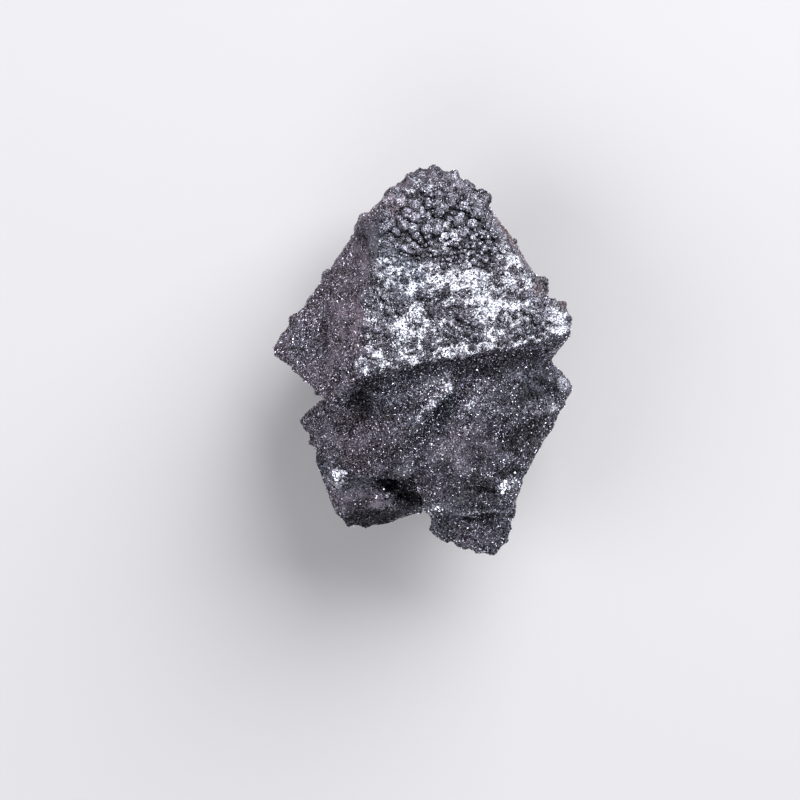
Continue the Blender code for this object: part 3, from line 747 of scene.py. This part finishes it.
def model_grain(name, sides, height, top):
    """A crystal a unit across, about half sunk: a pyramid on a polygon, cut off flat where top is over 0."""
    bpy.ops.object.select_all(action="DESELECT")
    bpy.ops.mesh.primitive_cone_add(
        vertices=sides,
        radius1=0.5,
        radius2=0.5 * top,
        depth=height,
        end_fill_type="NGON" if top else "NOTHING",
        location=(0, 0, GRAIN_LIFT),
    )
    return name_template(name)


def model_nodule(name, seed, flatness):
    """One rounded, slightly lumpy nodule a unit across, sunk by about a quarter of its height."""
    bpy.ops.object.select_all(action="DESELECT")
    bpy.ops.mesh.primitive_ico_sphere_add(
        subdivisions=2, radius=0.5, location=(0, 0, NODULE_LIFT * flatness), scale=(1, 1, flatness)
    )
    bpy.ops.object.mode_set(mode="EDIT")
    bpy.ops.mesh.select_all(action="SELECT")
    bpy.ops.transform.vertex_random(offset=NODULE_LUMPS, seed=seed)
    bpy.ops.object.mode_set(mode="OBJECT")
    return name_template(name)


def name_template(name):
    obj = bpy.context.object
    obj.name = name
    bpy.ops.object.transform_apply(location=True, rotation=True, scale=True)
    return obj


def remove_templates(templates):
    for template in templates:
        bpy.data.objects.remove(template)


def scatter_nodes(name, templates, gap, sizes, mask, seed, spread, facing):
    """A node group that grows the templates on the mesh it is given, and keeps only what it grew.

    The templates stand on the skin, or all look the same way where facing gives it."""
    group = bpy.data.node_groups.new(name, "GeometryNodeTree")
    group.interface.new_socket("Geometry", in_out="INPUT", socket_type="NodeSocketGeometry")
    group.interface.new_socket("Geometry", in_out="OUTPUT", socket_type="NodeSocketGeometry")
    t = NodeTree(group)
    skin = t.add("NodeGroupInput").outputs[0]
    density = t.add("GeometryNodeInputNamedAttribute", {"Name": mask}, data_type="FLOAT").outputs["Attribute"]
    points = t.add(
        "GeometryNodeDistributePointsOnFaces",
        {
            "Mesh": skin,
            "Distance Min": gap,
            "Density Max": TRIES / (gap * gap),
            "Density Factor": density,
            "Seed": seed,
        },
        distribute_method="POISSON",
    )
    joined = t.add("GeometryNodeJoinGeometry")
    for template in reversed(templates):
        shape = t.add("GeometryNodeObjectInfo", {"Object": template, "As Instance": True})
        group.links.new(shape.outputs["Geometry"], joined.inputs[0])
    tilt = t.add(
        "FunctionNodeRandomValue",
        {"Min": (-spread, -spread, -math.pi), "Max": (spread, spread, math.pi), "Seed": seed + 1},
        data_type="FLOAT_VECTOR",
    ).outputs[0]
    turn = t.add("FunctionNodeEulerToRotation", {0: tilt}).outputs[0]
    upright = points.outputs["Rotation"]
    if facing:
        upright = t.add("FunctionNodeAlignRotationToVector", {"Vector": facing}, axis="Z").outputs[0]
    turned = t.add(
        "FunctionNodeRotateRotation", {"Rotation": upright, "Rotate By": turn}, rotation_space="LOCAL"
    ).outputs[0]
    size = t.add(
        "FunctionNodeRandomValue", {2: sizes[0], 3: sizes[1], "Seed": seed + 2}, data_type="FLOAT"
    ).outputs[1]
    pick = t.add(
        "FunctionNodeRandomValue", {4: 0, 5: len(templates) - 1, "Seed": seed + 3}, data_type="INT"
    ).outputs[2]
    grown = t.add(
        "GeometryNodeInstanceOnPoints",
        {
            "Points": points.outputs["Points"],
            "Instance": joined.outputs[0],
            "Pick Instance": True,
            "Instance Index": pick,
            "Rotation": turned,
            "Scale": size,
        },
    ).outputs[0]
    chance = t.add("FunctionNodeRandomValue", {"Seed": seed + 4}, data_type="FLOAT").outputs[1]
    marked = t.add(
        "GeometryNodeStoreNamedAttribute",
        {"Geometry": grown, "Name": "grain", "Value": chance},
        data_type="FLOAT",
        domain="INSTANCE",
    ).outputs[0]
    real = t.add("GeometryNodeRealizeInstances", {"Geometry": marked}).outputs[0]
    t.add("NodeGroupOutput", {0: real})
    return group


def grow_on(name, skin, templates, gap, sizes, mask, seed, spread=0.5, facing=None):
    """A new object of crystals grown on a skin."""
    grown = add_copy(name, skin.data)
    grow = grown.modifiers.new("grow", "NODES")
    grow.node_group = scatter_nodes(name, templates, gap, sizes, mask, seed, spread, facing)
    apply_modifiers(grown)
    return grown


class HEMATITE_OT_grow_body(bpy.types.Operator):
    """Grow the body: the crystals' faces, softened, with low islands on the bright face"""

    bl_idname = "hematite.grow_body"
    bl_label = "Grow Body"

    SUNK = 0.10 * MM
    SUNK_UNDER_CAP = 0.35 * MM
    UNDER_CAP = (CAP_DRUSE_STARTS, CAP_STARTS + 1.0)

    def execute(self, context):
        look = context.scene.cluster_settings
        body = copy_of_solid("crystal_body")
        add_voxel_skin(body, look.body_voxel, look.body_smoothing)
        apply_modifiers(body)
        mark_finish(body.data)
        up = read_vectors(body.data, "co")[:, 1] / MM
        relieve(body.data, self.SUNK + self.SUNK_UNDER_CAP * ramp(up, *self.UNDER_CAP))
        bpy.ops.object.shade_smooth()
        # The skin's low, even shade where grains cover it is painted shade in the pits between the grains.
        dress(body, hematite_material("hematite_skin", glitter=1.0, rough=(0.2, 0.5), dark=0.32, light=0.32))
        return {"FINISHED"}


class HEMATITE_OT_grow_cap(bpy.types.Operator):
    """Grow the cap: rounded nodules crowded on the upper end"""

    bl_idname = "hematite.grow_cap"
    bl_label = "Grow Cap"

    CELL_OVER_DETAIL = 1.6
    SMOOTHING = 3
    SUNK = 0.10 * MM
    # Name, mask, distance and widths against the settings, and seed.
    NODULES = (
        ("nodules", "crown", 1.15, (0.95, 1.8), 71),
        ("small_nodules", "between", 0.78, (0.5, 1.15), 83),
    )
    # Painted shade in the crevices: how far over the bare skin it is darkest and where it ends, in
    # millimetres, and how dark it gets.
    CREVICE_SHADE_SPAN = (0.05, 0.30)
    CREVICE_SHADE_DEPTH = 0.72

    def execute(self, context):
        look = context.scene.cluster_settings
        cap = copy_of_solid("nodular_cap")
        bpy.ops.object.mode_set(mode="EDIT")
        bpy.ops.mesh.select_all(action="SELECT")
        bpy.ops.mesh.bisect(
            plane_co=(0, CAP_STARTS * MM, 0), plane_no=(0, 1, 0), use_fill=True, clear_inner=True
        )
        bpy.ops.object.mode_set(mode="OBJECT")
        add_voxel_skin(cap, look.cap_detail * self.CELL_OVER_DETAIL, self.SMOOTHING)
        apply_modifiers(cap)
        mark_finish(cap.data)
        relieve(cap.data, self.SUNK)
        nodules = self.grow_nodules(cap, look)
        bare = BVHTree.FromObject(cap, context.evaluated_depsgraph_get())
        bpy.ops.object.select_all(action="DESELECT")
        for obj in (*nodules, cap):
            obj.select_set(True)
        context.view_layer.objects.active = cap
        bpy.ops.object.join()
        self.paint_crevice_shade(cap.data, bare)
        bpy.ops.object.shade_smooth()
        dress(
            cap, hematite_material("hematite_nodules", glitter=1.0, rough=(0.22, 0.5), dark=0.46, light=0.92)
        )
        return {"FINISHED"}

    def grow_nodules(self, cap, look):
        kinds = [
            model_nodule("nodule_round", seed=1, flatness=1.0),
            model_nodule("nodule_low", seed=2, flatness=0.80),
        ]
        grown = []
        for name, mask, apart, widths, seed in self.NODULES:
            sizes = [look.nodule_size * width for width in widths]
            grown.append(grow_on(name, cap, kinds, look.nodule_gap * apart, sizes, mask, seed))
        remove_templates(kinds)
        return grown

    def paint_crevice_shade(self, mesh, bare):
        """Paints shade on what lies low between the nodules, near the bare skin that they grow on."""
        heights = [bare.find_nearest(point)[3] / MM for point in map(Vector, read_vectors(mesh, "co"))]
        crevice_shade = attribute_of(mesh, "cap") * (1 - ramp(np.array(heights), *self.CREVICE_SHADE_SPAN))
        store(mesh, "tone_and_painted_light", attribute_of(mesh, "tone_and_painted_light") * (1 - self.CREVICE_SHADE_DEPTH * crevice_shade))


class HEMATITE_OT_grow_druse(bpy.types.Operator):
    """Grow the druse: fine crystals over the whole cluster"""

    bl_idname = "hematite.grow_druse"
    bl_label = "Grow Druse"

    # Piece, the skin it grows on, mask, distance and size against the settings, and seed.
    REGIONS = (
        ("druse_upper_crystal", "crystal_body", "upper_front", 1, 1, 11),
        ("druse_lower_crystals", "crystal_body", "lower_front", 1, 1, 23),
        ("druse_back", "crystal_body", "body_back", 2.6, 2.2, 37),
        ("druse_cap", "nodular_cap", "cap_front", 1, 0.85, 41),
        ("druse_cap_back", "nodular_cap", "cap_back", 2.6, 2.0, 43),
    )
    SMALLEST, LARGEST = 0.6, 1.5

    def execute(self, context):
        look = context.scene.cluster_settings
        grains = [
            model_grain("grain_point", sides=4, height=0.48, top=0.0),
            model_grain("grain_plate", sides=3, height=0.38, top=0.6),
            model_grain("grain_low_point", sides=3, height=0.42, top=0.0),
        ]
        material = hematite_material("hematite_druse", glitter=0.2, rough=(0.10, 0.35), dark=0.08, light=2.7)
        for name, skin, mask, apart, width, seed in self.REGIONS:
            size = look.grain_size * width
            sizes = (size * self.SMALLEST, size * self.LARGEST)
            druse = grow_on(name, bpy.data.objects[skin], grains, look.grain_gap * apart, sizes, mask, seed)
            dress(druse, material)
        remove_templates(grains)
        return {"FINISHED"}


class HEMATITE_OT_grow_bright_crystals(bpy.types.Operator):
    """Grow the few larger bright crystals, which all look the way the bright face does"""

    bl_idname = "hematite.grow_bright_crystals"
    bl_label = "Grow Bright Crystals"

    # Distance, least and greatest width against the grains' own, and how far they lean, in radians.
    APART, SIZES, SPREAD = 1.8, (1.2, 3.2), 0.4
    MIRROR_APART, MIRROR_SIZES, MIRROR_SPREAD = 1.3, (2.6, 4.4), 0.2

    def execute(self, context):
        look = context.scene.cluster_settings
        size = look.grain_size
        body = bpy.data.objects["crystal_body"]
        material = bpy.data.materials["hematite_druse"]
        plate = model_grain("bright_plate", sides=6, height=0.5, top=0.85)
        block = model_grain("bright_block", sides=4, height=0.6, top=0.75)
        accents = grow_on(
            "bright_crystals",
            body,
            [plate, block],
            look.grain_gap * self.APART,
            [size * width for width in self.SIZES],
            "accent",
            seed=57,
            spread=self.SPREAD,
            facing=BRIGHT_FACE_NORMAL,
        )
        dress(accents, material)
        mirror = grow_on(
            "mirror_crystals",
            body,
            [plate],
            size * self.MIRROR_APART,
            [size * width for width in self.MIRROR_SIZES],
            "mirror",
            seed=61,
            spread=self.MIRROR_SPREAD,
            facing=BRIGHT_FACE_NORMAL,
        )
        dress(mirror, material)
        remove_templates([plate, block])
        return {"FINISHED"}


class HEMATITE_OT_grow_lumps(bpy.types.Operator):
    """Grow the lumps: rounded lumps on the dark islands of the bright face"""

    bl_idname = "hematite.grow_lumps"
    bl_label = "Grow Lumps"

    APART = 0.90 * MM
    SIZES = (0.45 * MM, 1.2 * MM)
    SPREAD = 0.3

    def execute(self, context):
        lump = model_nodule("lump", seed=3, flatness=0.62)
        body = bpy.data.objects["crystal_body"]
        lumps = grow_on("island_lumps", body, [lump], self.APART, self.SIZES, "lumpy", 67, self.SPREAD)
        remove_templates([lump])
        select_only(lumps)
        bpy.ops.object.shade_smooth()
        dress(
            lumps, hematite_material("hematite_lumps", glitter=1.1, rough=(0.22, 0.5), dark=0.64, light=1.0)
        )
        return {"FINISHED"}


class HEMATITE_OT_set_stage(bpy.types.Operator):
    """Set the stage: a pale floor, soft light and the camera"""

    bl_idname = "hematite.set_stage"
    bl_label = "Set Stage"

    FLOOR_SIZE = 4
    FLOOR_ROUGHNESS = 0.9
    SKY_COLOR = (0.92, 0.95, 1.0, 1)
    CAMERA_OVER = Vector((-0.00214, -0.00380, 0.364))
    CAMERA_LENS = 163.8
    SENSOR_WIDTH = 36
    NEAREST_SEEN = 0.01
    KEY_DIRECTION = Vector((0.475, 0.669, 0.549))
    LEFT_DIRECTION = Vector((-0.7, -0.1, 0.6))
    FRONT_DIRECTION = Vector((-0.2, -0.7, 0.66))
    KEY_WIDTH = 0.66
    FILL_WIDTH = 0.45
    LIGHT_DISTANCE = 0.60

    def execute(self, context):
        stage = context.scene.stage_settings
        self.lay_floor(stage.floor_color)
        self.add_light("key", self.KEY_DIRECTION, self.KEY_WIDTH, stage.key_strength)
        self.add_light("left_fill", self.LEFT_DIRECTION, self.FILL_WIDTH, stage.left_strength)
        self.add_light("front_fill", self.FRONT_DIRECTION, self.FILL_WIDTH, stage.front_strength)
        world = bpy.data.worlds.new("soft_room")
        context.scene.world = world
        world.use_nodes = True
        background = world.node_tree.nodes["Background"]
        background.inputs["Color"].default_value = self.SKY_COLOR
        background.inputs["Strength"].default_value = stage.sky_strength
        camera = bpy.data.objects.new("camera", bpy.data.cameras.new("camera"))
        context.scene.collection.objects.link(camera)
        camera.location = self.CAMERA_OVER
        camera.data.lens = self.CAMERA_LENS
        camera.data.sensor_width = self.SENSOR_WIDTH
        camera.data.clip_start = self.NEAREST_SEEN
        context.scene.camera = camera
        context.scene.view_settings.view_transform = "Standard"
        return {"FINISHED"}

    def lay_floor(self, color):
        bpy.ops.object.select_all(action="DESELECT")
        bpy.ops.mesh.primitive_plane_add(size=self.FLOOR_SIZE, location=(0, 0, 0))
        floor = bpy.context.object
        floor.name = "floor"
        paper = bpy.data.materials.new("floor_paper")
        paper.use_nodes = True
        shader = paper.node_tree.nodes["Principled BSDF"]
        shader.inputs["Base Color"].default_value = (*color, 1)
        shader.inputs["Roughness"].default_value = self.FLOOR_ROUGHNESS
        floor.data.materials.append(paper)

    def add_light(self, name, direction, width, radiance):
        """A soft round light that gives the same radiance whatever its width."""
        lamp = bpy.data.lights.new(name, "AREA")
        lamp.shape = "DISK"
        lamp.size = width
        lamp.energy = radiance * math.pi * math.pi * (width / 2) ** 2
        light = bpy.data.objects.new(name, lamp)
        bpy.context.scene.collection.objects.link(light)
        towards = direction.normalized()
        light.location = towards * self.LIGHT_DISTANCE
        light.rotation_mode = "QUATERNION"
        light.rotation_quaternion = towards.to_track_quat("Z", "Y")


class HEMATITE_PT_panel(bpy.types.Panel):
    """Lists what grows the cluster and sets its stage, in order"""

    bl_idname = "HEMATITE_PT_panel"
    bl_label = "Hematite"
    bl_space_type = "VIEW_3D"
    bl_region_type = "UI"
    bl_category = "Hematite"

    def draw(self, context):
        for operator in OPERATORS:
            self.layout.operator(operator.bl_idname)


OPERATORS = (
    HEMATITE_OT_grow_body,
    HEMATITE_OT_grow_cap,
    HEMATITE_OT_grow_druse,
    HEMATITE_OT_grow_bright_crystals,
    HEMATITE_OT_grow_lumps,
    HEMATITE_OT_set_stage,
)
CLASSES = (ClusterSettings, StageSettings, *OPERATORS, HEMATITE_PT_panel)


def register():
    for cls in CLASSES:
        bpy.utils.register_class(cls)
    bpy.types.Scene.cluster_settings = PointerProperty(type=ClusterSettings)
    bpy.types.Scene.stage_settings = PointerProperty(type=StageSettings)


def unregister():
    del bpy.types.Scene.stage_settings
    del bpy.types.Scene.cluster_settings
    for cls in reversed(CLASSES):
        bpy.utils.unregister_class(cls)


def main():
    register()
    bpy.ops.hematite.grow_body()
    bpy.ops.hematite.grow_cap()
    bpy.ops.hematite.grow_druse()
    bpy.ops.hematite.grow_bright_crystals()
    bpy.ops.hematite.grow_lumps()
    bpy.ops.hematite.set_stage()


if __name__ == "__main__":
    main()
